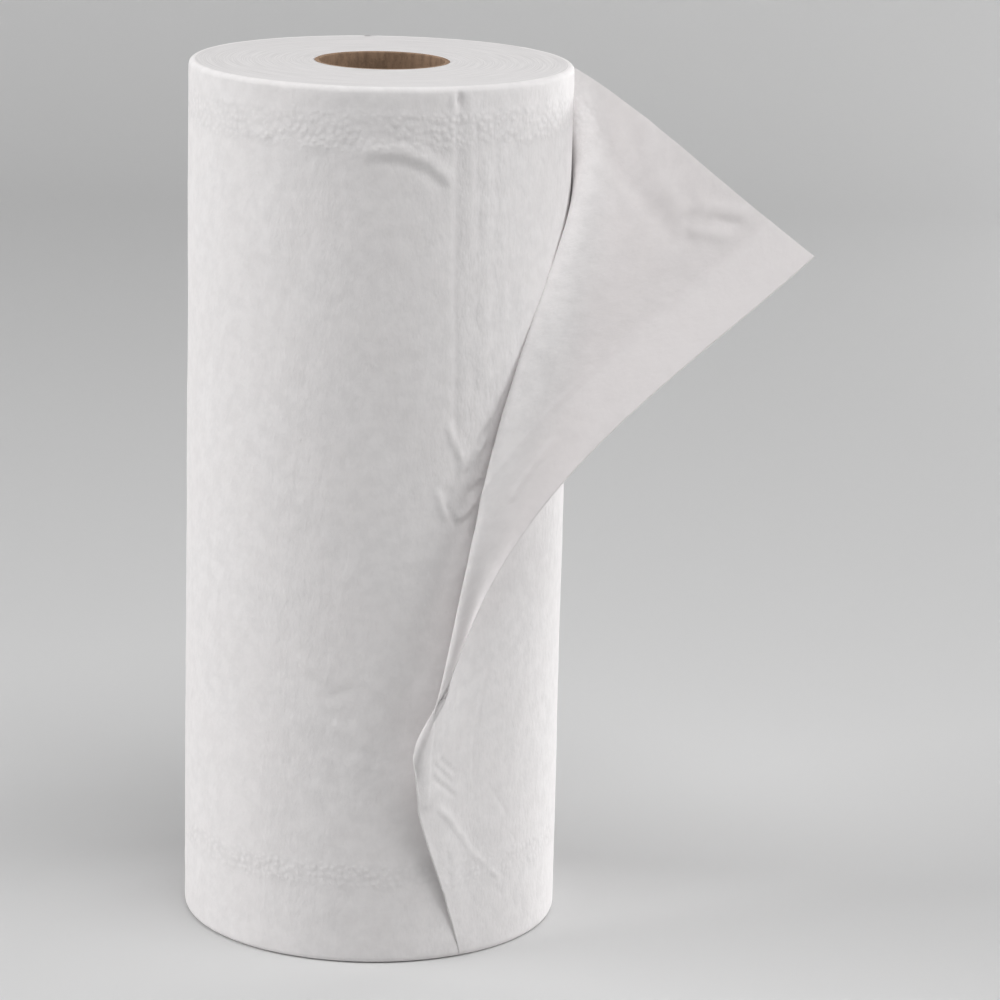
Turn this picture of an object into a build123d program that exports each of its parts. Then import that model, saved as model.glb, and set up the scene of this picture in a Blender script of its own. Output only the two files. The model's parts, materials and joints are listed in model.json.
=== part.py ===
"""Examination couch roll: a soft white paper web wound on a cardboard tube.

The roll stands on one end. Its axis is Z and its foot is at Z = 0. The front of the roll is -Y.
The web comes off clockwise, seen from above: round the right side (+X) and on to the front.
Its loose end stands off the front of the roll and is folded back to the right.
All sizes are in millimetres, and all angles are in degrees from +X, counted towards +Y.
"""

import math
import os

from build123d import *

# Cardboard tube
tube_bore_diameter = 35.4
tube_wall = 1.5

# Wound paper
web_width = 250.0
roll_diameter = 109.0
glue_gap = 0.1
rim_round = 2.0

# Turns that show on the end faces, as one spiral groove on each
turn_pitch = 4.0
turn_groove_width = 0.5
turn_groove_depth = 0.4
turn_margin = 2.5
points_per_turn = 16

# Loose end of the web
sheet_thickness = 0.4
sheet_end_gap = 0.8
sheet_lift = 0.25
buried_depth = 1.2
buried_angle = 5.0

# Height on the web at which the fold begins, and where each row of the web leaves the roll
fold_height = 80.0
leave_angle_low = -56.0
leave_angle_top = 46.0
leave_power = 2.4

# How far each row runs straight on before it bends, where it leaves the roll and at the cut edge
leave_pull_low = 19.0
leave_pull_top = 50.0
edge_pull_low = 4.0
edge_pull_top = 88.0
fold_turn_share = 0.34
crest_share = 0.6

# Heading of a row at the cut edge: at the foot of the fold, half-way round it, and past it
heading_foot = Vector(-0.6, -0.8, 0.0)
heading_crest = Vector(0.13, -1.0, -0.29)
heading_flap = Vector(0.84, -0.26, -0.61)

# Cut edge of the web below the fold, each point by its angle, distance off the wound paper,
# and height as a share of the fold's
edge_start = (-61.0, sheet_lift, 0.0)
edge_rise = (-69.0, 3.0, 0.38)
edge_bulge = (-89.0, 11.0, 0.85)

# Cut edge of the folded flap, from the foot of the fold to the free tip. These heights, and
# those of the crest, are shares of the web's height above the foot of the fold.
fold_foot = (-72.0, 9.0, 0.0)
flap_edge_low = (-64.0, 16.0, 0.19)
flap_edge_middle = (-54.0, 13.5, 0.375)
flap_edge_high = (-21.0, 36.5, 0.51)
flap_tip = (-7.5, 69.5, 0.7)

# Crest of the fold
crest_foot = (-74.0, 8.5, -0.025)
crest_low = (-64.5, 9.0, 0.21)
crest_middle = (-59.0, 8.5, 0.54)
crest_high = (-20.5, 2.5, 0.71)
crest_top = (3.5, 20.5, 0.91)

# Strips of which the loose end is made, one above the other
strips_up = 30

# Sizes that follow from those above
roll_radius = roll_diameter / 2
tube_bore_radius = tube_bore_diameter / 2
tube_radius = tube_bore_radius + tube_wall
roll_hole_radius = tube_radius + glue_gap
groove_start = roll_hole_radius + turn_margin
groove_turns = (roll_radius - rim_round - turn_margin - groove_start) / turn_pitch


def beside_roll(angle, distance, height):
    """Point at an angle round the roll, a distance off the wound paper and a height."""
    turn = math.radians(angle)
    reach = roll_radius + distance
    return Vector(reach * math.cos(turn), reach * math.sin(turn), height)


def below_fold(angle, distance, share):
    """Point beside the roll whose height is a share of the fold's height."""
    return beside_roll(angle, distance, fold_height * share)


def above_fold(angle, distance, share):
    """Point beside the roll at a share of the way from the foot of the fold to the web's top."""
    return beside_roll(angle, distance, blend(fold_height, web_width, share))


def groove_side(inset):
    """One side of the spiral groove, which moves outwards by one pitch in each turn."""
    count = round(groove_turns * points_per_turn)
    side = []
    for step in range(count + 1):
        turns = groove_turns * step / count
        reach = groove_start + inset + turn_pitch * turns
        side.append((reach * math.cos(math.tau * turns), reach * math.sin(math.tau * turns)))
    return side


def guide_curve(low_points, high_points):
    """Two Bezier curves, from the foot of the roll to the fold and on, that join smoothly."""
    ratio = fold_height / (web_width - fold_height)
    foot = high_points[0]
    before_foot = foot - (high_points[1] - foot) * ratio
    return Edge.make_bezier(*low_points, before_foot, foot), Edge.make_bezier(*high_points)


def blend(low, high, share):
    """Value a share of the way from low to high."""
    return low + (high - low) * share


def guide_point(guide, height):
    """Point of a guide curve for the row at this height on the flat web."""
    low_part, high_part = guide
    if height <= fold_height:
        return low_part @ (height / fold_height)
    return high_part @ ((height - fold_height) / (web_width - fold_height))


def guide_heading(guide, height):
    """Direction in which a guide curve climbs at this height on the flat web."""
    low_part, high_part = guide
    if height <= fold_height:
        return low_part % (height / fold_height)
    return high_part % ((height - fold_height) / (web_width - fold_height))


def web_row(height, edge_guide, crest_guide):
    """One row of the loose end, as the curves of its near side and of its far side.

    A straight piece starts inside the wound paper. A cubic goes on from it to the crest of the
    fold, and another to the cut edge, with the pull at the crest that joins them smoothly.
    """
    rise = max(0.0, (height - fold_height) / (web_width - fold_height))
    angle = blend(leave_angle_low, leave_angle_top, rise**leave_power)
    turn = math.radians(angle)
    around = min(1.0, rise / fold_turn_share)
    around = around * around * (3 - 2 * around)
    heading = (
        heading_foot * (1 - around) ** 2
        + heading_crest * (2 * around * (1 - around))
        + heading_flap * around**2
    )
    buried = beside_roll(angle + buried_angle, -buried_depth, height)
    leave = beside_roll(angle, sheet_lift, height)
    crest = guide_point(crest_guide, height)
    edge = guide_point(edge_guide, height)
    free_share = min(1.0, (edge - leave).length / free_width_at_fold)
    leave_pull = Vector(math.sin(turn), -math.cos(turn))
    leave_pull *= blend(leave_pull_low, leave_pull_top, rise) * free_share
    edge_pull = heading.normalized() * blend(edge_pull_low, edge_pull_top, rise) * free_share
    crest_pull = ((edge - leave) * 3 - leave_pull - edge_pull) / 4
    leave_side = Vector(math.cos(turn), math.sin(turn))
    crest_side = guide_heading(crest_guide, height).cross(crest_pull).normalized()
    edge_side = guide_heading(edge_guide, height).cross(edge_pull).normalized()
    row = []
    for distance in (0, sheet_thickness):
        start = buried + leave_side * distance
        bend = leave + leave_side * distance
        top = crest + crest_side * distance
        end = edge + edge_side * distance
        row.append(
            [
                Edge.make_line(start, bend),
                Edge.make_bezier(bend, bend + leave_pull / 3, top - crest_pull / 3, top),
                Edge.make_bezier(top, top + crest_pull / 3, end - edge_pull / 3, end),
            ]
        )
    return row


def strips_between(curves, next_curves):
    """Ruled faces between the curves of two neighbouring rows or sides."""
    return [Face.make_surface_from_curves(*pair) for pair in zip(curves, next_curves)]


# Guide curves of the loose end. Below the fold the crest lies a share of the way to the cut edge.
edge_low = [below_fold(*place) for place in (edge_start, edge_rise, edge_bulge)]
edge_high = [
    above_fold(*place)
    for place in (fold_foot, flap_edge_low, flap_edge_middle, flap_edge_high, flap_tip)
]
crest_low_part = []
for point in edge_low:
    root = beside_roll(leave_angle_low, sheet_lift, point.Z)
    crest_low_part.append(blend(root, point, crest_share))
crest_high_part = [
    above_fold(*place) for place in (crest_foot, crest_low, crest_middle, crest_high, crest_top)
]
edge_guide = guide_curve(edge_low, edge_high)
crest_guide = guide_curve(crest_low_part, crest_high_part)

# A row that is shorter than the one at the foot of the fold has its pulls shortened as much
leave_at_fold = beside_roll(leave_angle_low, sheet_lift, fold_height)
free_width_at_fold = (edge_high[0] - leave_at_fold).length

rows = []
for strip in range(strips_up + 1):
    height = blend(sheet_end_gap, web_width - sheet_end_gap, strip / strips_up)
    rows.append(web_row(height, edge_guide, crest_guide))

# The loose end's skin: its two sides, its foot and its head, its buried end and its cut edge
skin = strips_between(*rows[0]) + strips_between(*rows[-1])
for (near, far), (next_near, next_far) in zip(rows[:-1], rows[1:]):
    skin += strips_between(near, next_near)
    skin += strips_between(far, next_far)
    for place, end in ((0, 0), (-1, 1)):
        low = Edge.make_line(near[place] @ end, far[place] @ end)
        high = Edge.make_line(next_near[place] @ end, next_far[place] @ end)
        skin.append(Face.make_surface_from_curves(low, high))

with BuildPart() as core_tube:
    with BuildSketch():
        Circle(tube_radius)
        Circle(tube_bore_radius, mode=Mode.SUBTRACT)
    extrude(amount=web_width)

with BuildPart() as paper_roll:
    with BuildSketch():
        Circle(roll_radius)
        Circle(roll_hole_radius, mode=Mode.SUBTRACT)
    extrude(amount=web_width)
    rims = paper_roll.edges().filter_by(GeomType.CIRCLE).group_by(SortBy.RADIUS)[-1]
    fillet(rims, radius=rim_round)
    with BuildSketch(Plane.XY, Plane.XY.offset(web_width - turn_groove_depth)):
        with BuildLine():
            inner_side = Spline(*groove_side(0))
            outer_side = Spline(*groove_side(turn_groove_width))
            Line(inner_side @ 0, outer_side @ 0)
            Line(inner_side @ 1, outer_side @ 1)
        make_face()
    extrude(amount=turn_groove_depth, mode=Mode.SUBTRACT)
    add(Solid(Shell(skin)))

core_tube.part.label = "core_tube"
paper_roll.part.label = "paper_roll"

os.makedirs("parts", exist_ok=True)
export_step(core_tube.part, "parts/core_tube.step")
export_step(paper_roll.part, "parts/paper_roll.step")
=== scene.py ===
"""Look of an examination couch roll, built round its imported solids.

The roll stands on its end. Its axis is Z, its foot is at Z = 0 and its front is -Y. All lengths
are in metres. Angles are in degrees from +X, counted towards +Y. The paper is one long web. Its
loose end leaves the roll on the right and is folded back to the right as a flap.
"""

import json
import math

import bpy
import numpy as np
from mathutils import Matrix, Vector


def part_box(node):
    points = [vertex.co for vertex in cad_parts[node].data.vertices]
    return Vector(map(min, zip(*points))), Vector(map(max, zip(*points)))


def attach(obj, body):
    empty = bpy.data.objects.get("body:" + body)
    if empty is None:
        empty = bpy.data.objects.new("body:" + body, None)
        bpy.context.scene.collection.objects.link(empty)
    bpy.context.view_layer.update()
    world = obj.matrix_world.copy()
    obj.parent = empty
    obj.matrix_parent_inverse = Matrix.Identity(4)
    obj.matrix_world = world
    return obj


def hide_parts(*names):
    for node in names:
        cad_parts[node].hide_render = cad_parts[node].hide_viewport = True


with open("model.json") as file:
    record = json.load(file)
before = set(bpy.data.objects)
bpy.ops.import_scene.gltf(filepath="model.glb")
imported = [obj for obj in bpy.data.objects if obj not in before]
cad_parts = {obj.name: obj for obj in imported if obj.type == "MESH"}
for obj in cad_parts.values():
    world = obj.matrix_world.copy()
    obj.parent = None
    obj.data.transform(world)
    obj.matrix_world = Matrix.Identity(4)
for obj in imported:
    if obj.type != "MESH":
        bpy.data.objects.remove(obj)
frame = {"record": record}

bl_info = {
    "name": "Examination couch roll",
    "version": (1, 0, 0),
    "blender": (4, 5, 0),
    "location": "3D View > Sidebar > Couch roll",
    "description": "Builds a couch roll of soft white paper on a cardboard tube, and its stage",
    "category": "Object",
}

MM = 0.001

# The web's width and the tube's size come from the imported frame
TUBE_LOW, TUBE_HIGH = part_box("core_tube")
WEB_WIDTH = TUBE_HIGH.z - TUBE_LOW.z
TUBE_DIAMETER = TUBE_HIGH.x - TUBE_LOW.x
BORE_DIAMETER = 2 * MM * frame["record"]["mounts"][0]["dims"]["r_mm"]


# Sizes and colours that a user would change


class TubeLook(bpy.types.PropertyGroup):
    """Sizes and colours of the cardboard tube."""

    bore_diameter: bpy.props.FloatProperty(
        name="Bore",
        description="Diameter of the tube's bore",
        default=BORE_DIAMETER,
        min=0,
        unit="LENGTH",
    )
    edge_softness: bpy.props.FloatProperty(
        name="Edge softness",
        description="How far the tube's cut ends are rounded over",
        default=0.4 * MM,
        min=0,
        unit="LENGTH",
    )
    seam_pitch: bpy.props.FloatProperty(
        name="Seam pitch",
        description="How far the wound board's seam climbs in one turn",
        default=92 * MM,
        min=0,
        unit="LENGTH",
    )
    seam_depth: bpy.props.FloatProperty(
        name="Seam depth",
        description="How deep the seam is",
        default=0.18 * MM,
        min=0,
        unit="LENGTH",
    )
    board_colour: bpy.props.FloatVectorProperty(
        name="Board",
        description="Colour of the cardboard",
        default=(0.32, 0.215, 0.145),
        min=0,
        max=1,
        subtype="COLOR",
    )


class PaperLook(bpy.types.PropertyGroup):
    """Sizes and colours of the wound paper and of its loose end."""

    roll_diameter: bpy.props.FloatProperty(
        name="Roll diameter",
        description="Diameter of the wound paper",
        default=109 * MM,
        min=0,
        unit="LENGTH",
    )
    rim_round: bpy.props.FloatProperty(
        name="Rim round",
        description="Radius of the soft rim at each end of the roll",
        default=1.8 * MM,
        min=0,
        unit="LENGTH",
    )
    sheet_thickness: bpy.props.FloatProperty(
        name="Sheet thickness",
        description="Thickness of the soft two-ply web",
        default=0.28 * MM,
        min=0,
        unit="LENGTH",
    )
    turn_relief: bpy.props.FloatProperty(
        name="Turn relief",
        description="How unevenly the turns end on the roll's end faces",
        default=0.16 * MM,
        min=0,
        unit="LENGTH",
    )
    emboss_depth: bpy.props.FloatProperty(
        name="Embossing",
        description="Height of the bumps in the two embossed bands that hold the plies together",
        default=0.27 * MM,
        min=0,
        unit="LENGTH",
    )
    crepe_depth: bpy.props.FloatProperty(
        name="Crepe",
        description="Height of the fine crepe grain of the paper",
        default=0.26 * MM,
        min=0,
        unit="LENGTH",
    )
    wrinkle_depth: bpy.props.FloatProperty(
        name="Wrinkles",
        description="Height of the fine upright wrinkles on the front",
        default=0.34 * MM,
        min=0,
        unit="LENGTH",
    )
    light_through: bpy.props.FloatProperty(
        name="Light through",
        description="Share of the light that the loose end's single sheet lets through",
        default=0.4,
        min=0,
        max=1,
        subtype="FACTOR",
    )
    paper_colour: bpy.props.FloatVectorProperty(
        name="Paper",
        description="Colour of the paper",
        default=(0.86, 0.84, 0.84),
        min=0,
        max=1,
        subtype="COLOR",
    )


class StageLook(bpy.types.PropertyGroup):
    """Camera, lights and floor."""

    camera_place: bpy.props.FloatVectorProperty(
        name="Camera place",
        description="Where the camera stands",
        default=(0, -1.11687, 0.40225),
        subtype="TRANSLATION",
        unit="LENGTH",
    )
    camera_yaw: bpy.props.FloatProperty(
        name="Camera yaw",
        description="Turn of the camera towards +X",
        default=0.0324,
        subtype="ANGLE",
    )
    camera_pitch: bpy.props.FloatProperty(
        name="Camera pitch",
        description="How far the camera looks down",
        default=0.2451,
        subtype="ANGLE",
    )
    camera_roll: bpy.props.FloatProperty(
        name="Camera roll",
        description="Roll of the camera about its line of sight",
        default=0.0243,
        subtype="ANGLE",
    )
    lens: bpy.props.FloatProperty(
        name="Lens",
        description="Focal length of the camera, in millimetres",
        default=143.06,
        min=1,
    )
    floor_colour: bpy.props.FloatVectorProperty(
        name="Floor",
        description="Colour of the floor and of the wall behind",
        default=(0.68, 0.68, 0.68),
        min=0,
        max=1,
        subtype="COLOR",
    )
    left_light: bpy.props.FloatProperty(
        name="Left light",
        description="Power of the light on the left, in watts",
        default=51.0,
        min=0,
    )
    front_light: bpy.props.FloatProperty(
        name="Front light",
        description="Power of the high light in front, in watts",
        default=9.7,
        min=0,
    )
    right_light: bpy.props.FloatProperty(
        name="Right light",
        description="Power of the light on the right, in watts",
        default=31.0,
        min=0,
    )
    top_light: bpy.props.FloatProperty(
        name="Top light",
        description="Power of the light overhead, in watts",
        default=0.6,
        min=0,
    )
    back_light: bpy.props.FloatProperty(
        name="Back light",
        description="Power of the low light behind on the right, in watts",
        default=13.0,
        min=0,
    )
    sky_strength: bpy.props.FloatProperty(
        name="Sky",
        description="Strength of the even light from all round",
        default=0.02,
        min=0,
    )


# The loose end's shape repeats the sizes of its solid.
# Height at which the fold begins, and the angle at which each row of the web leaves the roll
FOLD_HEIGHT = 80 * MM
LEAVE_ANGLE_LOW = -56.0
LEAVE_ANGLE_TOP = 46.0
LEAVE_POWER = 2.4

# How far each row runs straight on before it bends, where it leaves the roll and at the cut edge
LEAVE_PULL = (19 * MM, 50 * MM)
EDGE_PULL = (4 * MM, 88 * MM)
FOLD_TURN_SHARE = 0.34
CREST_SHARE = 0.6

# Heading of a row at the cut edge: at the foot of the fold, half-way round it, and past it
HEADING_FOOT = (-0.6, -0.8, 0.0)
HEADING_CREST = (0.13, -1.0, -0.29)
HEADING_FLAP = (0.84, -0.26, -0.61)

# Cut edge below the fold: angle, distance off the roll, and height as a share of the fold's
EDGE_LOW = (
    (-61.0, 0.0, 0.0),
    (-69.0, 3 * MM, 0.38),
    (-89.0, 11 * MM, 0.85),
)

# Cut edge and crest above the fold, with heights as shares of the web's height above it
EDGE_HIGH = (
    (-72.0, 9 * MM, 0.0),
    (-64.0, 16 * MM, 0.19),
    (-54.0, 13.5 * MM, 0.375),
    (-21.0, 36.5 * MM, 0.51),
    (-7.5, 69.5 * MM, 0.7),
)
CREST_HIGH = (
    (-74.0, 8.5 * MM, -0.025),
    (-64.5, 9 * MM, 0.21),
    (-59.0, 8.5 * MM, 0.54),
    (-20.5, 2.5 * MM, 0.71),
    (3.5, 20.5 * MM, 0.91),
)

# The loose end's sheet runs on round the right side, to where it joins the roll at the back.
# It ends this many degrees past the join, where it sinks under the turn below.
JOIN_ANGLE = 95.0
JOIN_OVERLAP = 0.8

# How far the paper's side lies inside that of its solid
SIDE_CLEARANCE = 0.05 * MM


def smooth(share):
    """The curve 3t^2 - 2t^3, with t kept from 0 to 1."""
    t = np.clip(share, 0.0, 1.0)
    return t * t * (3.0 - 2.0 * t)


def between(low, high, share):
    """Value a share of the way from low to high."""
    return low + (high - low) * share


def corner_value(column, row, seed):
    """Repeatable value from -1 to 1 for each whole-number place."""
    n = column.astype(np.int64) * 374761393 + row.astype(np.int64) * 668265263 + seed * 69069
    n = (n ^ (n >> 13)) & 0x7FFFFFFF
    n = (n * 1274126177) & 0x7FFFFFFF
    n = n ^ (n >> 16)
    return (n & 0xFFFF) / 32767.5 - 1.0


def soft_noise(x, y, seed):
    """Smooth noise from -1 to 1: values at whole-number corners, blended by 3t^2 - 2t^3."""
    column = np.floor(x)
    row = np.floor(y)
    across = smooth(x - column)
    up = smooth(y - row)
    low = between(corner_value(column, row, seed), corner_value(column + 1, row, seed), across)
    high = between(
        corner_value(column, row + 1, seed), corner_value(column + 1, row + 1, seed), across
    )
    return between(low, high, up)


def bezier(points, shares):
    """Points of the Bezier curve sum C(n,k) t^k (1-t)^(n-k) P_k at each share t."""
    points = np.asarray(points, float)
    degree = len(points) - 1
    t = np.asarray(shares, float)[:, None]
    total = 0.0
    for k in range(degree + 1):
        total = total + math.comb(degree, k) * t**k * (1 - t) ** (degree - k) * points[k]
    return total


def even_bezier(points, shares, samples=400):
    """Points of the Bezier curve at each share of its length."""
    fine = np.linspace(0.0, 1.0, samples + 1)
    places = bezier(points, fine)
    length = np.concatenate([[0.0], np.cumsum(np.linalg.norm(np.diff(places, axis=0), axis=1))])
    return bezier(points, np.interp(shares, length / length[-1], fine))


def hermite(start, start_pull, end, end_pull, share):
    """Cubic (2t^3-3t^2+1)P0 + (t^3-2t^2+t)M0 + (3t^2-2t^3)P1 + (t^3-t^2)M1."""
    t2 = share * share
    t3 = t2 * share
    return (
        (2 * t3 - 3 * t2 + 1) * start
        + (t3 - 2 * t2 + share) * start_pull
        + (3 * t2 - 2 * t3) * end
        + (t3 - t2) * end_pull
    )


def unit(vectors):
    """Vectors along the last axis, each divided by its length."""
    return vectors / np.linalg.norm(vectors, axis=-1, keepdims=True)


def beside_roll(radius, angle, distance, height):
    """Point ((R+d) cos a, (R+d) sin a, z)."""
    turn = math.radians(angle)
    reach = radius + distance
    return np.array((reach * math.cos(turn), reach * math.sin(turn), height))


def crease(along, height, path, width, rise):
    """Ridge of height rise * exp(-(d/width)^2) at distance d from a path, fading at its ends."""
    shape = np.zeros(np.broadcast(along, height).shape)
    for (x0, y0), (x1, y1) in zip(path[:-1], path[1:]):
        dx = x1 - x0
        dy = y1 - y0
        share = np.clip(((along - x0) * dx + (height - y0) * dy) / (dx * dx + dy * dy), 0.0, 1.0)
        away = np.hypot(along - x0 - share * dx, height - y0 - share * dy)
        shape = np.maximum(shape, np.exp(-((away / width) ** 2)))
    return rise * shape


def new_mesh(name, points, faces):
    """Mesh object from an array of points and an array of four-cornered faces."""
    mesh = bpy.data.meshes.new(name)
    mesh.vertices.add(len(points))
    mesh.vertices.foreach_set("co", np.asarray(points, np.float32).ravel())
    mesh.loops.add(faces.size)
    mesh.loops.foreach_set("vertex_index", faces.astype(np.int32).ravel())
    mesh.polygons.add(len(faces))
    mesh.polygons.foreach_set("loop_start", np.arange(0, faces.size, 4, dtype=np.int32))
    mesh.update(calc_edges=True)
    mesh.validate()
    mesh.polygons.foreach_set("use_smooth", np.full(len(mesh.polygons), True))
    piece = bpy.data.objects.new(name, mesh)
    bpy.context.scene.collection.objects.link(piece)
    return piece


def quads(row, next_row, column, next_column, columns):
    """Faces between grid rows and columns, with corners in order round each face."""
    return np.stack(
        [
            row * columns + column,
            row * columns + next_column,
            next_row * columns + next_column,
            next_row * columns + column,
        ],
        axis=-1,
    ).reshape(-1, 4)


def ring_faces(rows, columns):
    """Faces of a grid whose rows and columns both close on themselves."""
    row = np.arange(rows)[:, None]
    column = np.arange(columns)[None, :]
    return quads(row, (row + 1) % rows, column, (column + 1) % columns, columns)


def sheet_faces(rows, columns):
    """Faces of a thin closed sheet: an outer grid, an inner grid and the four narrow edges."""
    row = np.arange(rows - 1)[:, None]
    column = np.arange(columns - 1)[None, :]
    outer = quads(row, row + 1, column, column + 1, columns)
    inner = outer[:, ::-1] + rows * columns
    grid = np.arange(rows * columns).reshape(rows, columns)
    border = np.concatenate([grid[0, :-1], grid[:-1, -1], grid[-1, :0:-1], grid[:0:-1, 0]])
    after = np.roll(border, -1)
    below = rows * columns
    edge = np.stack([after, border, border + below, after + below], axis=-1)
    return np.concatenate([outer, inner, edge])


def set_point_vectors(piece, name, vectors):
    """Stores one vector for each point of the mesh, under a name that its material reads."""
    attribute = piece.data.attributes.new(name, "FLOAT_VECTOR", "POINT")
    attribute.data.foreach_set("vector", np.asarray(vectors, np.float32).ravel())


class Value:
    """A shader socket that plain arithmetic can be written with."""

    def __init__(self, nodes, socket):
        self.nodes = nodes
        self.socket = socket

    def maths(self, operation, *others):
        return self.nodes.add("ShaderNodeMath", operation=operation, inputs=(self, *others))

    def __add__(self, other):
        return self.maths("ADD", other)

    __radd__ = __add__

    def __mul__(self, other):
        return self.maths("MULTIPLY", other)

    __rmul__ = __mul__

    def __sub__(self, other):
        return self.maths("SUBTRACT", other)

    def __rsub__(self, other):
        return self * -1.0 + other

    def power(self, exponent):
        return self.maths("POWER", exponent)

    def ramp(self, low, high):
        """Smooth change from 0 at low to 1 at high."""
        return self.nodes.add(
            "ShaderNodeMapRange",
            interpolation_type="SMOOTHSTEP",
            inputs={"Value": self, "From Min": low, "From Max": high},
        )

    def band(self, low, high, soft):
        """1 between low and high, and 0 outside, with soft edges."""
        return self.ramp(low - soft, low + soft) * (1.0 - self.ramp(high - soft, high + soft))


class Nodes:
    """Node tree of one material, with its shader and its output."""

    def __init__(self, name):
        self.material = bpy.data.materials.new(name)
        self.material.use_nodes = True
        self.tree = self.material.node_tree
        self.shader = self.tree.nodes["Principled BSDF"]

    def put(self, socket, value):
        if isinstance(value, Value):
            self.tree.links.new(value.socket, socket)
        else:
            socket.default_value = value

    def add(self, kind, output=0, inputs=(), **settings):
        """Adds a node, sets its settings and inputs, and returns one of its outputs."""
        node = self.tree.nodes.new(kind)
        for key, setting in settings.items():
            setattr(node, key, setting)
        pairs = inputs.items() if isinstance(inputs, dict) else enumerate(inputs)
        for key, value in pairs:
            self.put(node.inputs[key], value)
        return Value(self, node.outputs[output])

    def attribute(self, name):
        return self.add("ShaderNodeAttribute", output="Vector", attribute_name=name)

    def parts(self, vector):
        """The three numbers of a vector."""
        split = self.add("ShaderNodeSeparateXYZ", inputs=(vector,)).socket.node
        return [Value(self, socket) for socket in split.outputs]

    def joined(self, *numbers):
        return self.add("ShaderNodeCombineXYZ", inputs=numbers)

    def noise(self, vector, scale, detail=2.0, roughness=0.5):
        return self.add(
            "ShaderNodeTexNoise",
            output="Fac",
            inputs={"Vector": vector, "Scale": scale, "Detail": detail, "Roughness": roughness},
        )

    def mix_colours(self, share, first, second):
        node = self.tree.nodes.new("ShaderNodeMix")
        node.data_type = "RGBA"
        self.put(node.inputs["Factor"], share)
        self.put(node.inputs[6], first)
        self.put(node.inputs[7], second)
        return Value(self, node.outputs[2])

    def bump(self, height):
        """Gives the shader a normal from a height in metres."""
        normal = self.add(
            "ShaderNodeBump", inputs={"Height": height, "Distance": 1.0, "Strength": 1.0}
        )
        self.put(self.shader.inputs["Normal"], normal)

    def let_light_through(self, share, colour):
        """Mixes the shader with one that passes light through a thin sheet."""
        glow = self.tree.nodes.new("ShaderNodeBsdfTranslucent")
        self.put(glow.inputs["Color"], colour)
        mix = self.tree.nodes.new("ShaderNodeMixShader")
        self.put(mix.inputs["Fac"], share)
        self.tree.links.new(self.shader.outputs["BSDF"], mix.inputs[1])
        self.tree.links.new(glow.outputs["BSDF"], mix.inputs[2])
        output = self.tree.nodes["Material Output"]
        self.tree.links.new(mix.outputs["Shader"], output.inputs["Surface"])

    def finish(self, **constants):
        for key, value in constants.items():
            self.put(self.shader.inputs[key.replace("_", " ")], value)
        return self.material


def rgba(colour, factor=1.0):
    """Four-part colour, made lighter or darker by a factor."""
    return (colour[0] * factor, colour[1] * factor, colour[2] * factor, 1.0)


# Heights of the two embossed bands of the web, and the pitch of their bumps
EMBOSSED_BANDS = ((22.5 * MM, 29.5 * MM), (233 * MM, 243 * MM))
EMBOSS_PITCH = 1.9 * MM

# Part of the front, by length round the roll from +X and by height, with fine upright wrinkles
WRINKLED_ARC = (-62 * MM, -36 * MM)
WRINKLED_HEIGHT = (125 * MM, 247 * MM)

# Painted light: a strip along the cut edge of the flap is made lighter in colour. Where this strip
# ends, and the heights where it begins
PAINTED_LIGHT_STRIP_EDGE = (15.5 * MM, 17 * MM)
PAINTED_LIGHT_STRIP_HEIGHT = (150 * MM, 200 * MM)


def crepe(nodes, place):
    """Height of the crepe: fine grain, longer along the axis, over softer unevenness."""
    x, y, z = nodes.parts(place)
    grain = nodes.noise(nodes.joined(x, y, z * 0.55), 760.0, 2.0, 0.6)
    blotch = nodes.noise(nodes.joined(x, y, z * 0.7), 260.0, 2.0, 0.5)
    swell = nodes.noise(nodes.joined(x, y, z * 0.5), 80.0, 1.0, 0.5)
    return grain * 0.5 + blotch * 0.8 + swell * 0.9


def emboss(nodes, place):
    """Height share of round bumps that stand close together, and how far each band has them."""
    _, height, _ = nodes.parts(place)
    gaps = nodes.add(
        "ShaderNodeTexVoronoi",
        output="Distance",
        feature="SMOOTH_F1",
        voronoi_dimensions="2D",
        inputs={"Vector": place, "Scale": 1 / EMBOSS_PITCH, "Smoothness": 0.6},
    )
    uneven = nodes.noise(place, 110.0, 2.0).ramp(0.3, 0.7) * 0.6 + 0.4
    low = height.band(*EMBOSSED_BANDS[0], 1.5 * MM)
    high = height.band(*EMBOSSED_BANDS[1], 1.5 * MM)
    return 1.0 - gaps, uneven * (low + high)


def wrinkles(nodes, place):
    """Height share of the fine upright wrinkles beside the fold line, on the front."""
    arc, height, _ = nodes.parts(place)
    fine = nodes.noise(nodes.joined(arc, height * 0.4, 0.0), 380.0, 2.0, 0.55)
    beside = arc.band(*WRINKLED_ARC, 3 * MM) * height.band(*WRINKLED_HEIGHT, 14 * MM)
    return fine * beside


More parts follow.
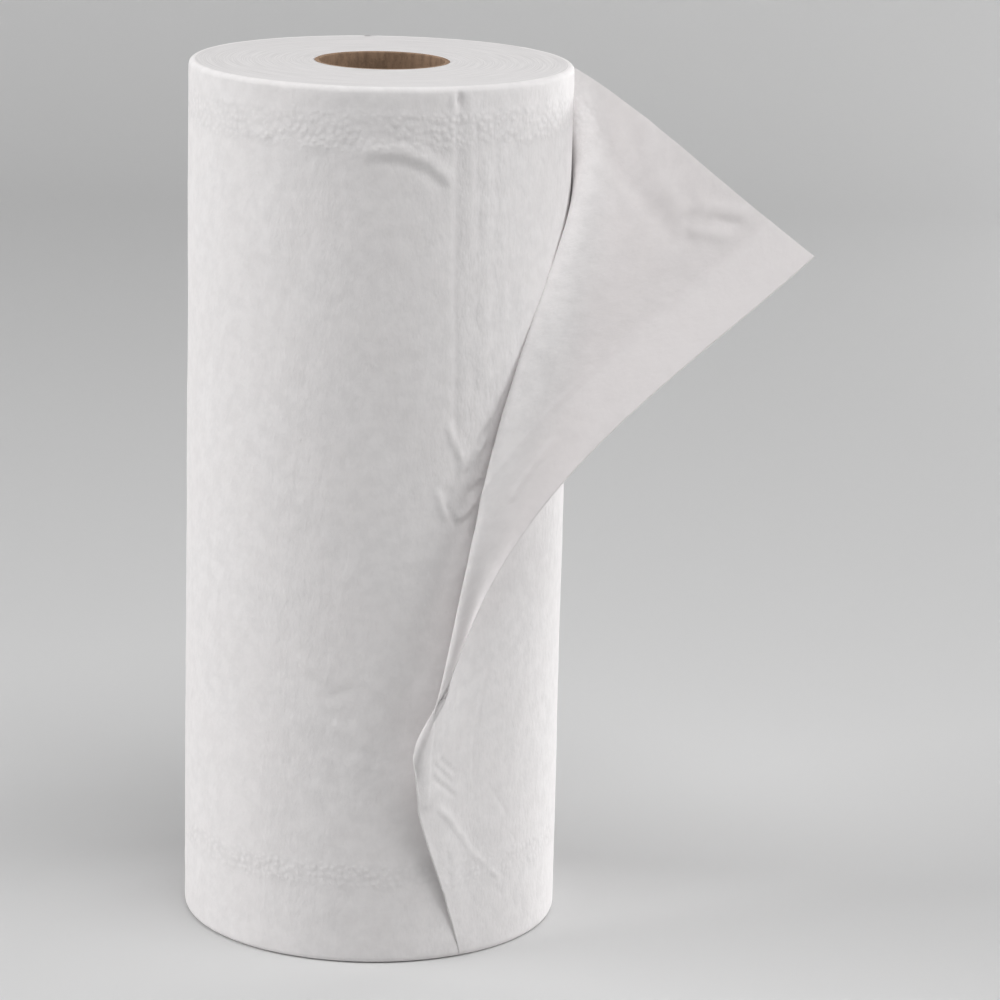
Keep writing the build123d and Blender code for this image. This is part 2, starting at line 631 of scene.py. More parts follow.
def paper_material(name, look, with_flap=False):
    """Soft white crepe paper with two embossed bands."""
    nodes = Nodes(name)
    wound = nodes.attribute("wound")
    web = nodes.attribute("web")
    bumps, in_band = emboss(nodes, web)
    if with_flap:
        free, _, _ = nodes.parts(nodes.attribute("free"))
        in_band = in_band * (0.7 - free * 0.55)
    height = crepe(nodes, wound) * look.crepe_depth + bumps * in_band * look.emboss_depth
    mottle = nodes.noise(wound, 240.0, 3.0, 0.6).ramp(0.3, 0.7)
    cloud = nodes.noise(wound, 42.0, 2.0, 0.5).ramp(0.3, 0.7)
    colour = nodes.mix_colours(
        mottle, rgba(look.paper_colour, 0.955), rgba(look.paper_colour, 1.02)
    )
    colour = nodes.mix_colours(cloud * 0.3, colour, rgba((0.85, 0.82, 0.815)))
    # Painted shade: the paper is darkened in the hollows between the embossed bumps, where shade
    # would fall
    painted_hollow_shade = (1.0 - bumps.ramp(0.45, 0.8)) * in_band
    colour = nodes.mix_colours(painted_hollow_shade * 0.5, colour, rgba(look.paper_colour, 0.88))
    if with_flap:
        _, up, from_edge = nodes.parts(web)
        # Painted light: lighter colour along the flap's cut edge, where the sheet stands off the
        # roll
        painted_light_strip = (1.0 - from_edge.ramp(*PAINTED_LIGHT_STRIP_EDGE)) * up.ramp(*PAINTED_LIGHT_STRIP_HEIGHT)
        colour = nodes.mix_colours(painted_light_strip * free * 0.6, colour, rgba(look.paper_colour, 1.08))
        nodes.let_light_through(free * look.light_through, rgba(look.paper_colour))
    else:
        height = height + wrinkles(nodes, web) * look.wrinkle_depth
    nodes.bump(height)
    return nodes.finish(Base_Color=colour, Roughness=0.92, Specular_IOR_Level=0.15)


def turns_material(name, look):
    """Paper seen edge on: the ends of many thin turns."""
    nodes = Nodes(name)
    place = nodes.add("ShaderNodeTexCoord", output="Object")
    x, y, _ = nodes.parts(place)
    reach = (x * x + y * y).power(0.5)
    angle = y.maths("ARCTAN2", x)
    spiral = reach - angle * (0.3 * MM / math.tau)
    along = nodes.joined(spiral, angle * 0.0006, 0.0)
    fine = nodes.noise(along, 3200.0, 2.0, 0.6)
    coarse = nodes.noise(along, 700.0, 2.0, 0.5)
    grain = nodes.noise(place, 900.0, 2.0, 0.5)
    nodes.bump((fine * 0.5 + coarse * 0.8 + grain * 0.3) * (0.12 * MM))
    colour = nodes.mix_colours(
        fine.ramp(0.3, 0.7), rgba(look.paper_colour, 0.79), rgba(look.paper_colour, 0.92)
    )
    return nodes.finish(Base_Color=colour, Roughness=0.95, Specular_IOR_Level=0.1)


def board_material(name, look):
    """Brown grey cardboard with fibres and darker specks."""
    nodes = Nodes(name)
    place = nodes.add("ShaderNodeTexCoord", output="Object")
    x, y, z = nodes.parts(place)
    fibre = nodes.noise(nodes.joined(x, y, z * 0.35), 520.0, 4.0, 0.65)
    speck = nodes.noise(place, 1500.0, 2.0, 0.5)
    colour = nodes.mix_colours(
        fibre.ramp(0.3, 0.7), rgba(look.board_colour, 0.78), rgba(look.board_colour, 1.18)
    )
    colour = nodes.mix_colours(speck.ramp(0.58, 0.72) * 0.5, colour, rgba(look.board_colour, 0.55))
    nodes.bump((fibre + speck * 0.5) * (0.15 * MM))
    return nodes.finish(Base_Color=colour, Roughness=0.88, Specular_IOR_Level=0.2)


def tube_profile(look):
    """Radii and heights round the tube's wall, with softened ends, as one closed loop."""
    inner = look.bore_diameter / 2
    outer = TUBE_DIAMETER / 2
    soft = look.edge_softness
    heights = np.linspace(TUBE_LOW.z + soft, TUBE_HIGH.z - soft, 126)
    corner = np.linspace(0.0, math.pi / 2, 6)[1:-1]
    slow = soft * (1 - np.cos(corner))
    fast = soft * (1 - np.sin(corner))
    low = TUBE_LOW.z
    high = TUBE_HIGH.z
    loop = (
        (np.full_like(heights, inner), heights),
        (inner + slow, high - fast),
        ((inner + soft, outer - soft), (high, high)),
        (outer - fast, high - slow),
        (np.full_like(heights, outer), heights[::-1]),
        (outer - slow, low + fast),
        ((outer - soft, inner + soft), (low, low)),
        (inner + fast, low + slow),
    )
    return np.concatenate([np.stack([reach, height], 1) for reach, height in loop])


def tube_points(look, columns):
    """Tube wall: the profile turned about Z, with the seam sunk into its inner side."""
    profile = tube_profile(look)
    angle = np.linspace(0.0, math.tau, columns, endpoint=False)[None, :]
    reach = profile[:, :1]
    height = profile[:, 1:]
    climb = height / look.seam_pitch - angle / math.tau
    from_seam = np.abs(climb - np.round(climb)) * look.seam_pitch
    inside = reach < look.bore_diameter / 2 + look.edge_softness / 2
    reach = reach + inside * look.seam_depth * np.exp(-((from_seam / (0.8 * MM)) ** 2))
    x, y, z = np.broadcast_arrays(reach * np.cos(angle), reach * np.sin(angle), height)
    return np.stack([x, y, z], -1)


class ROLL_OT_core_tube(bpy.types.Operator):
    """Add the cardboard tube"""

    bl_idname = "roll.core_tube"
    bl_label = "Core tube"

    def execute(self, context):
        look = context.scene.tube_look
        points = tube_points(look, 144)
        rows, columns = points.shape[:2]
        piece = new_mesh("card_tube", points.reshape(-1, 3), ring_faces(rows, columns)[:, ::-1])
        piece.data.materials.append(board_material("card_board", look))
        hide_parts("core_tube")
        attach(piece, "root")
        return {"FINISHED"}


# Shares of the turn from the join, between which the front has its columns closer together
FRONT_SHARE = (0.35, 0.66)

# How far the wound paper is sunk where the loose end lies over it
COVERED_SINK = 0.25 * MM

# Wrinkles of the wound paper on the front: path by angle and height, width and height
WOUND_CREASES = (
    # Notch in the rim, and the fold line that runs down from it, with crepe on its right
    (((-67.3, 251), (-67.2, 245.5)), 0.8, -0.9),
    (((-69.2, 250), (-69.0, 244.5)), 1.0, 0.45),
    (((-67.5, 247), (-67.3, 190), (-65.8, 140)), 1.2, -0.2),
    (((-63.5, 246), (-62.5, 205)), 1.5, 0.2),
    (((-58.0, 240), (-57.0, 170)), 2.2, 0.25),
    (((-52.0, 232), (-50.5, 185)), 1.8, 0.2),
    # Curved lip below the upper embossed band
    (((-93.0, 232.5), (-84.0, 232.5), (-76.0, 229.8), (-70.5, 225.0)), 1.9, 0.5),
    (((-112.0, 233.0), (-100.0, 232.0), (-86.0, 232.5), (-78.0, 230.6)), 1.6, 0.22),
    (((-90.0, 230.0), (-84.0, 229.8), (-76.5, 227.0), (-72.2, 223.0)), 1.3, -0.35),
    # Nick on the left
    (((-131.5, 233.6), (-130.2, 233.0)), 0.7, -0.6),
    (((-129.5, 234.2), (-124.5, 235.2)), 0.9, 0.3),
    # Crumples beside the fold
    (((-68.2, 155.1), (-64.5, 147.0)), 1.2, 0.6),
    (((-54.7, 155.5), (-58.9, 149.7)), 0.8, -0.5),
    (((-56.5, 151.0), (-60.5, 144.0)), 0.8, 0.5),
    (((-58.7, 146.6), (-62.7, 141.5)), 0.8, -0.5),
    (((-62.0, 147.5), (-66.5, 139.0)), 0.9, 0.45),
    (((-64.5, 143.0), (-68.0, 136.5)), 0.8, -0.4),
    (((-68.5, 132.8), (-65.5, 128.0)), 0.8, -0.5),
    (((-59.1, 134.0), (-62.0, 131.0), (-65.3, 129.8)), 0.8, 0.5),
    (((-59.5, 131.5), (-63.5, 127.5)), 0.8, -0.4),
    (((-71.5, 137.0), (-69.0, 130.5)), 1.0, 0.7),
    (((-57.0, 138.5), (-61.0, 136.5)), 0.9, -0.7),
    (((-60.0, 122.0), (-62.5, 115.0)), 1.1, 0.6),
    (((-58.0, 116.0), (-60.5, 108.0)), 1.1, -0.5),
    # Soft short wrinkles low on the left of the fold
    (((-112.0, 88.0), (-104.0, 84.0)), 1.6, 0.32),
    (((-104.0, 78.0), (-97.0, 80.5)), 1.5, -0.3),
    (((-100.0, 70.0), (-92.0, 66.0)), 1.7, 0.32),
    (((-92.0, 84.0), (-86.5, 79.0)), 1.5, 0.3),
    (((-95.0, 60.0), (-88.0, 57.5)), 1.5, 0.26),
    # Broad shallow dents on the left
    (((-128.0, 196.0), (-118.0, 190.0)), 5.0, -0.25),
    (((-112.0, 122.0), (-102.0, 118.0)), 5.0, -0.3),
    (((-90.0, 172.0), (-84.0, 150.0)), 5.0, -0.25),
)


def wound_relief(radius, angle, height):
    """Wrinkles and soft unevenness of the wound paper, in metres outwards."""
    arc = radius * angle
    relief = 0.22 * MM * soft_noise(arc / (31 * MM), height / (44 * MM), 3)
    relief = relief + 0.1 * MM * soft_noise(arc / (9 * MM), height / (15 * MM), 5)
    relief = relief + 0.05 * MM * soft_noise(arc / (3.4 * MM), height / (5 * MM), 8)
    for path, width, rise in WOUND_CREASES:
        places = [(radius * math.radians(a), z * MM) for a, z in path]
        relief = relief + crease(arc, height, places, width * MM, rise * MM)
    return relief


def wound_profile(look):
    """Radii, heights and parts of one half-section of the wound paper, as one closed loop.

    The parts are 0 for the hole's wall, 1 for an end face and 2 for the rim and the side.
    """
    hole = TUBE_DIAMETER / 2 + 0.08 * MM
    radius = look.roll_diameter / 2
    soft = look.rim_round
    top = WEB_WIDTH
    ring = np.linspace(hole, radius - soft, 52)
    corner = np.linspace(0.0, math.pi / 2, 7)[1:-1]
    side = np.linspace(top - soft, soft, 210)
    wall = np.linspace(0.0, top, 7)[1:-1]
    reach = [np.full_like(wall, hole), ring, radius - soft * (1 - np.sin(corner))]
    height = [wall, np.full_like(ring, top), top - soft * (1 - np.cos(corner))]
    part = [np.zeros(len(wall)), np.ones(len(ring)), np.full(len(corner), 2)]
    reach += [np.full_like(side, radius), radius - soft * (1 - np.cos(corner)), ring[::-1]]
    height += [side, soft * (1 - np.sin(corner)), np.zeros_like(ring)]
    part += [np.full(len(side), 2), np.full(len(corner), 2), np.ones(len(ring))]
    return np.concatenate(reach), np.concatenate(height), np.concatenate(part)


def wound_points(look, columns):
    """Points of the wound paper, and where each lies on the web.

    The radius is R - c - e * t, where t is the share of a turn since the join and e is the
    sheet's thickness, so that the outer turn steps down by one thickness at the join.
    """
    reach, height, part = wound_profile(look)
    reach = reach[:, None]
    height = height[:, None]
    radius = look.roll_diameter / 2
    hole = reach.min()
    front_columns = round(columns * 0.6)
    share = np.concatenate(
        [
            [0.0],
            np.linspace(0.0005, FRONT_SHARE[0], (columns - front_columns) // 2, endpoint=False),
            np.linspace(*FRONT_SHARE, front_columns, endpoint=False),
            np.linspace(FRONT_SHARE[1], 1.0, (columns - front_columns) // 2, endpoint=False),
        ]
    )[None, :]
    join = math.radians(JOIN_ANGLE)
    angle = join - math.tau * (1 - share)
    outward = (reach - hole) / (radius - hole)
    step = look.sheet_thickness * 1.02
    reach_now = reach - outward * (SIDE_CLEARANCE + step * share)
    side = (part == 2)[:, None]
    fade = smooth(np.minimum(height, WEB_WIDTH - height) / (4 * MM)) * 0.8 + 0.2
    covered = smooth((angle - leave_angle_at(height)) / 0.06)
    relief = fade * wound_relief(radius, angle, height) * (1 - covered) - COVERED_SINK * covered
    relief = relief * smooth((join - angle) / 0.06)
    relief = relief * smooth((angle - join + math.tau) / 0.2 - 0.15)
    reach_now = reach_now + side * relief
    phase = (reach - hole) - 0.9 * MM * share
    uneven = soft_noise(phase / (0.9 * MM), angle * 0 + 7, 11)
    uneven = uneven + 0.8 * soft_noise(phase / (3.7 * MM), angle * 0 + 3, 12)
    inset = look.turn_relief * (1.0 + 0.5 * uneven)
    end = (part == 1)[:, None] * smooth(outward / 0.03)
    up = np.where(height > WEB_WIDTH / 2, -1.0, 1.0)
    points = np.stack(
        np.broadcast_arrays(
            reach_now * np.cos(angle), reach_now * np.sin(angle), height + up * end * inset
        ),
        -1,
    )
    web = np.stack(np.broadcast_arrays(radius * angle, height, 0.0 * angle), -1)
    return points, web, part


class ROLL_OT_wound_paper(bpy.types.Operator):
    """Add the wound part of the paper web"""

    bl_idname = "roll.wound_paper"
    bl_label = "Wound paper"

    def execute(self, context):
        look = context.scene.paper_look
        points, web, part = wound_points(look, 290)
        rows, columns = points.shape[:2]
        faces = ring_faces(rows, columns)[:, ::-1]
        piece = new_mesh("wound_paper", points.reshape(-1, 3), faces)
        set_point_vectors(piece, "wound", points)
        set_point_vectors(piece, "web", web)
        piece.data.materials.append(paper_material("wound_paper", look))
        piece.data.materials.append(turns_material("paper_turns", look))
        row = np.arange(rows)
        on_end = (part[row] == 1) & (part[(row + 1) % rows] == 1)
        piece.data.polygons.foreach_set(
            "material_index", np.repeat(on_end, columns).astype(np.int32)
        )
        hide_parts("paper_roll")
        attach(piece, "root")
        return {"FINISHED"}


# Creases of the loose end: path by distance from the cut edge and height, width and height
LOOSE_CREASES = (
    # Line that marks off the strip along the flap's cut edge, which has painted light
    (((16.5, 120), (16.5, 160), (16.2, 200), (16.0, 249)), 0.9, -0.3),
    # Short slanting creases at the foot of the fold
    (((12.4, 63.7), (16.6, 57.6)), 0.7, -0.5),
    (((10.3, 62.6), (14.8, 55.5)), 0.6, -0.45),
    (((9.0, 58.6), (14.7, 50.5)), 0.6, -0.45),
    # Upright crease beside them, and a short one to its right
    (((28.2, 84.0), (27.6, 71.8), (22.7, 52.5)), 0.8, -0.4),
    (((26.8, 50.5), (30.7, 40.3)), 0.8, -0.3),
    # Ridge that runs down to the right, and one that runs back to the cut edge
    (((8.5, 48.0), (10.4, 45.4), (14.4, 31.2), (20.0, 22.1)), 1.1, 0.55),
    (((13.4, 31.2), (6.0, 25.0), (0.8, 20.0)), 1.0, 0.45),
    (((6.5, 33.0), (3.5, 25.0)), 1.2, -0.3),
    (((18.2, 18.6), (19.8, 16.6)), 0.8, -0.35),
    # Soft folds of the flap
    (((10.0, 159.0), (8.7, 139.7)), 0.9, -0.35),
    (((76.0, 241.0), (61.7, 234.0), (46.3, 232.0), (30.0, 228.0)), 3.0, 0.6),
    (((62.0, 248.0), (50.0, 240.0), (36.0, 236.0)), 2.6, -0.5),
    (((52.0, 222.0), (40.0, 205.0), (30.0, 180.0)), 4.0, -0.6),
    (((24.0, 246.0), (31.0, 241.0)), 2.6, -0.8),
    (((21.5, 238.0), (27.5, 234.0)), 2.2, -0.7),
    (((26.0, 241.0), (22.0, 243.5)), 1.4, 0.5),
    (((33.0, 236.0), (28.0, 231.0)), 1.6, 0.4),
)

# Width of the strip that is turned over at the foot of the fold, by height, and its rise
STRIP_HEIGHTS = (46 * MM, 50 * MM, 58 * MM, 66 * MM, 73 * MM, 79 * MM, 85 * MM, 90 * MM)
STRIP_WIDTHS = (0.0, 5.2 * MM, 7.6 * MM, 8.8 * MM, 8.8 * MM, 6.6 * MM, 3.2 * MM, 0.0)
STRIP_RISE = 1.3 * MM

# The share of each row next to the cut edge that has most of the columns, and how many of them
FINE_SHARE = 0.4
FINE_COLUMNS = 0.7

# How far the sheet sinks past the join, and how far its top edge lies below the web's
JOIN_SINK = 0.07 * MM
TOP_EDGE_DROP = 0.1 * MM


def leave_angle_at(heights):
    """Angle at which each row leaves the roll: low + (top - low) * rise^power."""
    rise = np.clip((heights - FOLD_HEIGHT) / (WEB_WIDTH - FOLD_HEIGHT), 0.0, 1.0)
    return np.radians(between(LEAVE_ANGLE_LOW, LEAVE_ANGLE_TOP, rise**LEAVE_POWER))


def guide_curves(radius):
    """Points of the cut edge and of the fold's crest, below and above the foot of the fold."""
    above = WEB_WIDTH - FOLD_HEIGHT
    edge_low = [beside_roll(radius, a, d, FOLD_HEIGHT * z) for a, d, z in EDGE_LOW]
    edge_high = [beside_roll(radius, a, d, FOLD_HEIGHT + above * z) for a, d, z in EDGE_HIGH]
    crest_high = [beside_roll(radius, a, d, FOLD_HEIGHT + above * z) for a, d, z in CREST_HIGH]
    crest_low = []
    for point in edge_low:
        root = beside_roll(radius, LEAVE_ANGLE_LOW, 0.0, point[2])
        crest_low.append(between(root, point, CREST_SHARE))
    ratio = FOLD_HEIGHT / above
    for low, high in ((edge_low, edge_high), (crest_low, crest_high)):
        low.append(high[0] - (high[1] - high[0]) * ratio)
        low.append(high[0])
    return edge_low, edge_high, crest_low, crest_high


def free_rows(radius, heights, samples):
    """Rows of the loose end from the roll to its cut edge, and the angle where each leaves.

    Each row is two cubics, from the roll to the crest and on to the cut edge. They share the
    pull (3(E - D) - A - B)/4 at the crest, which makes them join smoothly. A row shorter than the
    one at the foot of the fold has its pulls shortened as much.
    """
    edge_low, edge_high, crest_low, crest_high = guide_curves(radius)
    rise = np.clip((heights - FOLD_HEIGHT) / (WEB_WIDTH - FOLD_HEIGHT), 0.0, 1.0)
    drop = np.clip(heights / FOLD_HEIGHT, 0.0, 1.0)
    is_low = (heights <= FOLD_HEIGHT)[:, None]
    edge = np.where(is_low, even_bezier(edge_low, drop), even_bezier(edge_high, rise))
    crest = np.where(is_low, even_bezier(crest_low, drop), even_bezier(crest_high, rise))
    angle = leave_angle_at(heights)
    leave = np.stack([radius * np.cos(angle), radius * np.sin(angle), heights], -1)
    around = smooth(rise / FOLD_TURN_SHARE)[:, None]
    heading = unit(
        np.array(HEADING_FOOT) * (1 - around) ** 2
        + np.array(HEADING_CREST) * (2 * around * (1 - around))
        + np.array(HEADING_FLAP) * around**2
    )
    straight = np.stack([np.sin(angle), -np.cos(angle), 0 * angle], -1)
    full = np.linalg.norm(edge_high[0] - beside_roll(radius, LEAVE_ANGLE_LOW, 0.0, FOLD_HEIGHT))
    shrink = np.minimum(1.0, np.linalg.norm(edge - leave, axis=1) / full)
    leave_pull = straight * (between(*LEAVE_PULL, rise) * shrink)[:, None]
    edge_pull = heading * (between(*EDGE_PULL, rise) * shrink)[:, None]
    crest_pull = (3 * (edge - leave) - leave_pull - edge_pull) / 4
    share = np.linspace(0.0, 1.0, samples)[None, :, None]
    first = hermite(
        leave[:, None], leave_pull[:, None], crest[:, None], crest_pull[:, None], share
    )
    second = hermite(
        crest[:, None], crest_pull[:, None], edge[:, None], edge_pull[:, None], share[:, 1:]
    )
    return np.concatenate([first, second], axis=1), angle


def loose_surface(look, heights, column_count):
    """Middle surface of the loose end, with each point's distance from the cut edge and angle.

    Each row follows its free curve and then lies on the roll, on to the join at the back.
    """
    radius = look.roll_diameter / 2 - SIDE_CLEARANCE - look.sheet_thickness / 2
    row_count = len(heights)
    rows, leave_angle = free_rows(radius, heights, 160)
    step = np.linalg.norm(np.diff(rows, axis=1), axis=2)
    run = np.concatenate([np.zeros((row_count, 1)), np.cumsum(step, axis=1)], axis=1)
    free_length = run[:, -1]
    end = math.radians(JOIN_ANGLE + JOIN_OVERLAP)
    whole = free_length + radius * (end - leave_angle)
    fine_columns = round(column_count * FINE_COLUMNS)
    share = np.concatenate(
        [
            np.linspace(0.0, FINE_SHARE, fine_columns, endpoint=False),
            np.linspace(FINE_SHARE, 1.0, column_count - fine_columns),
        ]
    )
    from_edge = whole[:, None] * share[None, :]
    angle = leave_angle[:, None] + (from_edge - free_length[:, None]) / radius
    z = np.broadcast_to(heights[:, None], angle.shape)
    points = np.stack([radius * np.cos(angle), radius * np.sin(angle), z], -1)
    for row in range(row_count):
        free = from_edge[row] < free_length[row]
        back = free_length[row] - from_edge[row][free]
        for axis in range(3):
            points[row, free, axis] = np.interp(back, run[row], rows[row, :, axis])
    return points, from_edge, angle


def surface_normals(points):
    """Unit normals from the differences between neighbours along each row and up the rows."""
    up = np.gradient(points, axis=0)
    along = np.gradient(points, axis=1)
    return unit(np.cross(along, up))


def loose_relief(from_edge, heights):
    """Creases and soft unevenness of the loose end, in metres outwards."""
    z = heights[:, None] + 0 * from_edge
    relief = 0.25 * MM * soft_noise(from_edge / (23 * MM), z / (31 * MM), 21)
    relief = relief + 0.12 * MM * soft_noise(from_edge / (8 * MM), z / (12 * MM), 22)
    relief = relief + 0.05 * MM * soft_noise(from_edge / (3.2 * MM), z / (4.6 * MM), 23)
    for path, width, rise in LOOSE_CREASES:
        places = [(s * MM, h * MM) for s, h in path]
        relief = relief + crease(from_edge, z, places, width * MM, rise * MM)
    return relief + turned_strip(from_edge, z)


def turned_strip(from_edge, height):
    """Strip that sinks away from the cut edge to a small step: rise * (1 - 0.7 s/w) for s < w."""
    width = np.interp(height, STRIP_HEIGHTS, STRIP_WIDTHS)
    share = from_edge / np.maximum(width, 0.5 * MM)
    inside = smooth((width - from_edge) / (0.6 * MM))
    return STRIP_RISE * (1 - 0.7 * np.clip(share, 0.0, 1.0)) * inside * smooth(width / (7 * MM))


def rim_inset(look, heights):
    """How far the rounded rim lies inside the roll's side: r - sqrt(r^2 - (r-d)^2)."""
    soft = look.rim_round
    short = np.clip(soft - np.minimum(heights, WEB_WIDTH - heights), 0.0, soft)
    return soft - np.sqrt(soft**2 - short**2)


def row_heights(look, count):
    """Heights of the rows, closer together where the rim is rounded."""
    soft = look.rim_round
    turn = np.linspace(0.0, math.pi / 2, 7)[:-1]
    low = soft * (1 - np.cos(turn))
    return np.concatenate([low, np.linspace(soft, WEB_WIDTH - soft, count), WEB_WIDTH - low[::-1]])


def loose_skin(look, points, from_edge, angle, heights, away):
    """Points of the loose end's outer side and then of its inner side.

    The middle surface moves by its relief, and each side stands off it by half the thickness.
    The sheet thins from the inside towards the join.
    """
    join = math.radians(JOIN_ANGLE)
    freedom = smooth(away / (2 * MM))
    near_join = smooth((join - angle) / 0.12)
    relief = loose_relief(from_edge, heights) * (0.5 + 0.5 * freedom) * near_join
    relief = np.maximum(relief, -0.2 * MM * (1 - freedom) - MM * freedom)
    relief = relief - (1 - freedom) * rim_inset(look, heights)[:, None]
    past_join = (angle - join) / math.radians(JOIN_OVERLAP)
    relief = relief + 0.01 * MM - JOIN_SINK * smooth(past_join)
    points = points + surface_normals(points) * relief[..., None]
    normals = surface_normals(points)
    thickness = look.sheet_thickness * (0.15 + 0.85 * near_join)
    outer = points + normals * (look.sheet_thickness / 2)
    inner = outer - normals * thickness[..., None]
    both = np.concatenate([outer.reshape(-1, 3), inner.reshape(-1, 3)])
    both[:, 2] = np.clip(both[:, 2], 0.0, WEB_WIDTH - TOP_EDGE_DROP)
    return both


class ROLL_OT_loose_end(bpy.types.Operator):
    """Add the loose end of the paper web"""

    bl_idname = "roll.loose_end"
    bl_label = "Loose end"

    def execute(self, context):
        look = context.scene.paper_look
        heights = row_heights(look, 244)
        points, from_edge, angle = loose_surface(look, heights, 166)
        radius = look.roll_diameter / 2
        away = np.hypot(points[..., 0], points[..., 1]) - radius
        skin = loose_skin(look, points, from_edge, angle, heights, away)
        piece = new_mesh("loose_end", skin, sheet_faces(*angle.shape))
        z = np.broadcast_to(heights[:, None], angle.shape)
        clear = smooth((away - 3 * MM) / (12 * MM))
        for name, parts in (
            ("wound", (radius * np.cos(angle), radius * np.sin(angle), z)),
            ("web", (radius * angle, z, from_edge)),
            ("free", (clear, 0 * clear, 0 * clear)),
        ):
            vectors = np.stack(parts, -1).reshape(-1, 3)
            set_point_vectors(piece, name, np.concatenate([vectors, vectors]))
        piece.data.materials.append(paper_material("loose_paper", look, with_flap=True))
        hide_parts("paper_roll")
        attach(piece, "root")
        lengths = from_edge[:, -1]
        area = np.sum((lengths[1:] + lengths[:-1]) / 2 * np.diff(heights))
        return {"FINISHED"}


# Strength at which the camera sees the sky past the ends of the floor, where 1 is white
SEEN_SKY = 0.6

# Points that the lights face
ROLL_MIDDLE = (0.02, 0.0, 0.13)
FLAP_MIDDLE = (0.09, 0.0, 0.2)

# Floor from its front to where it bends up, the radius of the bend, and the wall's height
FLOOR_FRONT = -2.5
FLOOR_BACK = 1.2
BEND_RADIUS = 0.5
WALL_HEIGHT = 3.0
FLOOR_HALF_WIDTH = 3.0


def camera_matrix(look):
    """Camera placing: X to its right, Y up and Z back, from yaw, pitch and roll."""
    yaw = look.camera_yaw
    pitch = look.camera_pitch
    roll = look.camera_roll
    ahead = Vector(
        (math.sin(yaw) * math.cos(pitch), math.cos(yaw) * math.cos(pitch), -math.sin(pitch))
    )
    level = Vector((math.cos(yaw), -math.sin(yaw), 0.0))
    upright = level.cross(ahead)
    right = level * math.cos(roll) + upright * math.sin(roll)
    up = upright * math.cos(roll) - level * math.sin(roll)
    matrix = Matrix((right, up, -ahead)).transposed().to_4x4()
    matrix.translation = Vector(look.camera_place)
    return matrix


def area_light(name, place, target, size, power):
    """Rectangular light of a given power, in watts, that faces a target."""
    light = bpy.data.lights.new(name, "AREA")
    light.shape = "RECTANGLE"
    light.size, light.size_y = size
    light.energy = power
    lamp = bpy.data.objects.new(name, light)
    bpy.context.scene.collection.objects.link(lamp)
    lamp.location = place
    lamp.rotation_euler = (Vector(target) - Vector(place)).to_track_quat("-Z", "Y").to_euler()


def backdrop(look):
    """Floor that bends up through a quarter of a circle into a wall behind the roll."""
    depth = np.linspace(FLOOR_FRONT, FLOOR_BACK, 30)
    bend = np.linspace(0.0, math.pi / 2, 16)[1:]
    wall = FLOOR_BACK + BEND_RADIUS
    curve = np.concatenate(
        [
            np.stack([depth, 0 * depth], 1),
            np.stack(
                [FLOOR_BACK + BEND_RADIUS * np.sin(bend), BEND_RADIUS * (1 - np.cos(bend))], 1
            ),
            [[wall, WALL_HEIGHT / 2], [wall, WALL_HEIGHT]],
        ]
    )
    across = np.linspace(-FLOOR_HALF_WIDTH, FLOOR_HALF_WIDTH, 13)
    x = np.broadcast_to(across[None, :], (len(curve), len(across)))
    y = np.broadcast_to(curve[:, :1], x.shape)
    z = np.broadcast_to(curve[:, 1:], x.shape)
    row = np.arange(len(curve) - 1)[:, None]
    column = np.arange(len(across) - 1)[None, :]
    faces = quads(row, row + 1, column, column + 1, len(across))
    floor = new_mesh("floor", np.stack([x, y, z], -1).reshape(-1, 3), faces)
    nodes = Nodes("floor")
    matt = nodes.finish(
        Base_Color=rgba(look.floor_colour), Roughness=1.0, Specular_IOR_Level=0.0
    )
    floor.data.materials.append(matt)


def sky(look):
    """World that gives its weak even light, and that the camera sees as a pale background."""
    world = bpy.data.worlds.new("sky")
    world.use_nodes = True
    tree = world.node_tree
    ground = tree.nodes["Background"]
    ground.inputs["Color"].default_value = (1.0, 1.0, 1.0, 1.0)
    rays = tree.nodes.new("ShaderNodeLightPath")
    seen = tree.nodes.new("ShaderNodeMapRange")
    seen.inputs["To Min"].default_value = look.sky_strength
    seen.inputs["To Max"].default_value = SEEN_SKY
    kind = rays.outputs["Is Camera Ray"]
    for other in ("Is Glossy Ray", "Is Transmission Ray"):
        either = tree.nodes.new("ShaderNodeMath")
        either.operation = "MAXIMUM"
        tree.links.new(kind, either.inputs[0])
        tree.links.new(rays.outputs[other], either.inputs[1])
        kind = either.outputs["Value"]
    tree.links.new(kind, seen.inputs["Value"])
    tree.links.new(seen.outputs["Result"], ground.inputs["Strength"])
    bpy.context.scene.world = world


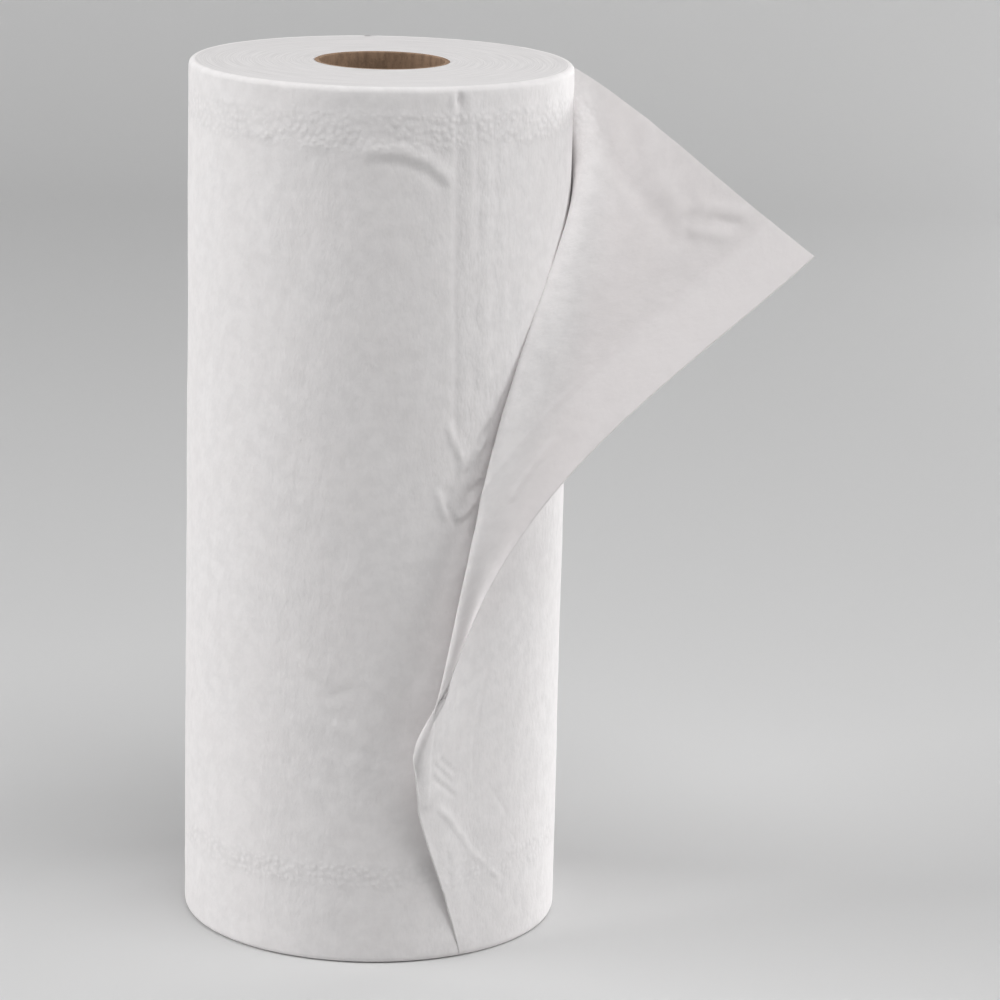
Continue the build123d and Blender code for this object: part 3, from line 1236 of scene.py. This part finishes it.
class ROLL_OT_stage(bpy.types.Operator):
    """Set the camera, the lights and the floor"""

    bl_idname = "roll.stage"
    bl_label = "Stage"

    def execute(self, context):
        look = context.scene.stage_look
        scene = context.scene
        camera = bpy.data.objects.new("camera", bpy.data.cameras.new("camera"))
        scene.collection.objects.link(camera)
        camera.matrix_world = camera_matrix(look)
        camera.data.lens = look.lens
        camera.data.sensor_width = 36
        camera.data.clip_start = 0.05
        scene.camera = camera
        for name, place, target, size, power in (
            ("left light", (-2.42, -0.3, 0.97), ROLL_MIDDLE, (1.8, 2.2), look.left_light),
            ("front light", (0.25, -0.5, 1.35), ROLL_MIDDLE, (0.8, 0.6), look.front_light),
            ("right light", (2.48, -0.4, 0.87), ROLL_MIDDLE, (1.6, 2.2), look.right_light),
            ("top light", (0.0, 0.0, 1.4), ROLL_MIDDLE, (1.0, 0.8), look.top_light),
            ("back light", (1.1, 1.1, 0.1), FLAP_MIDDLE, (0.5, 0.12), look.back_light),
        ):
            area_light(name, place, target, size, power)
        sky(look)
        scene.view_settings.view_transform = "Standard"
        backdrop(look)
        return {"FINISHED"}


class ROLL_PT_panel(bpy.types.Panel):
    """Lists the pieces of the couch roll"""

    bl_idname = "ROLL_PT_panel"
    bl_label = "Couch roll"
    bl_space_type = "VIEW_3D"
    bl_region_type = "UI"
    bl_category = "Couch roll"

    def draw(self, context):
        layout = self.layout
        for group in ("tube_look", "paper_look", "stage_look"):
            settings = getattr(context.scene, group)
            for key in settings.__annotations__:
                layout.prop(settings, key)
        for operator in OPERATORS:
            layout.operator(operator.bl_idname)


OPERATORS = (ROLL_OT_stage, ROLL_OT_core_tube, ROLL_OT_wound_paper, ROLL_OT_loose_end)
CLASSES = (TubeLook, PaperLook, StageLook, *OPERATORS, ROLL_PT_panel)


def register():
    """Adds the classes and the settings to Blender."""
    for item in CLASSES:
        bpy.utils.register_class(item)
    bpy.types.Scene.tube_look = bpy.props.PointerProperty(type=TubeLook)
    bpy.types.Scene.paper_look = bpy.props.PointerProperty(type=PaperLook)
    bpy.types.Scene.stage_look = bpy.props.PointerProperty(type=StageLook)


def unregister():
    """Takes them away again."""
    del bpy.types.Scene.tube_look
    del bpy.types.Scene.paper_look
    del bpy.types.Scene.stage_look
    for item in reversed(CLASSES):
        bpy.utils.unregister_class(item)


def main():
    """Builds every piece and the stage."""
    register()
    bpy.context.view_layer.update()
    bpy.ops.roll.stage()
    bpy.ops.roll.core_tube()
    bpy.ops.roll.wound_paper()
    bpy.ops.roll.loose_end()


if __name__ == "__main__":
    main()
